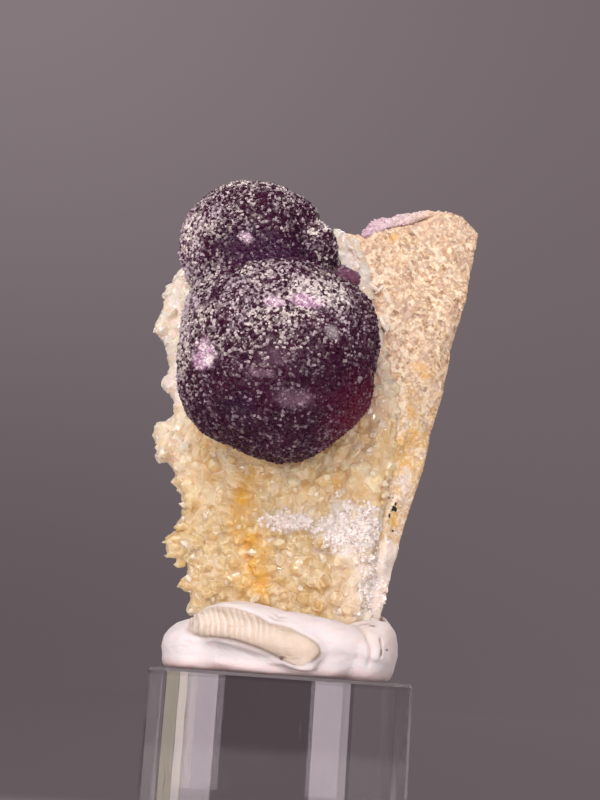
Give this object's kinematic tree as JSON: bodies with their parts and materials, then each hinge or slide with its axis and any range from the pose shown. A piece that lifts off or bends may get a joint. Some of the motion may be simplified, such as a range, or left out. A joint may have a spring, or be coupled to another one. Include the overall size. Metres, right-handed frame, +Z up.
{
  "type": "botryoidal fluorite specimen",
  "caption": "Purple balls of fluorite on a quartz-crusted tan rock, stood upright in white putty on a clear cube block.",
  "frame": {"origin": "middle of the clear block's underside", "axes": "+Z up through the block and the specimen, +X to the right and +Y away from someone who looks at the fluorite balls"},
  "size_m": [0.0419, 0.0363, 0.0925],
  "materials": {
    "purple_fluorite": "satin",
    "lilac_fluorite": "satin",
    "quartz": "gloss",
    "tan_rock": "matte",
    "putty": "satin",
    "clear_acrylic": "gloss"
  },
  "bodies": {
    "root": {"fluorite_balls": "purple_fluorite", "fluorite_rind": "lilac_fluorite", "quartz_druse": "quartz", "host_rock": "tan_rock", "mounting_putty": "putty", "acrylic_block": "clear_acrylic"}
  },
  "joints": []
}
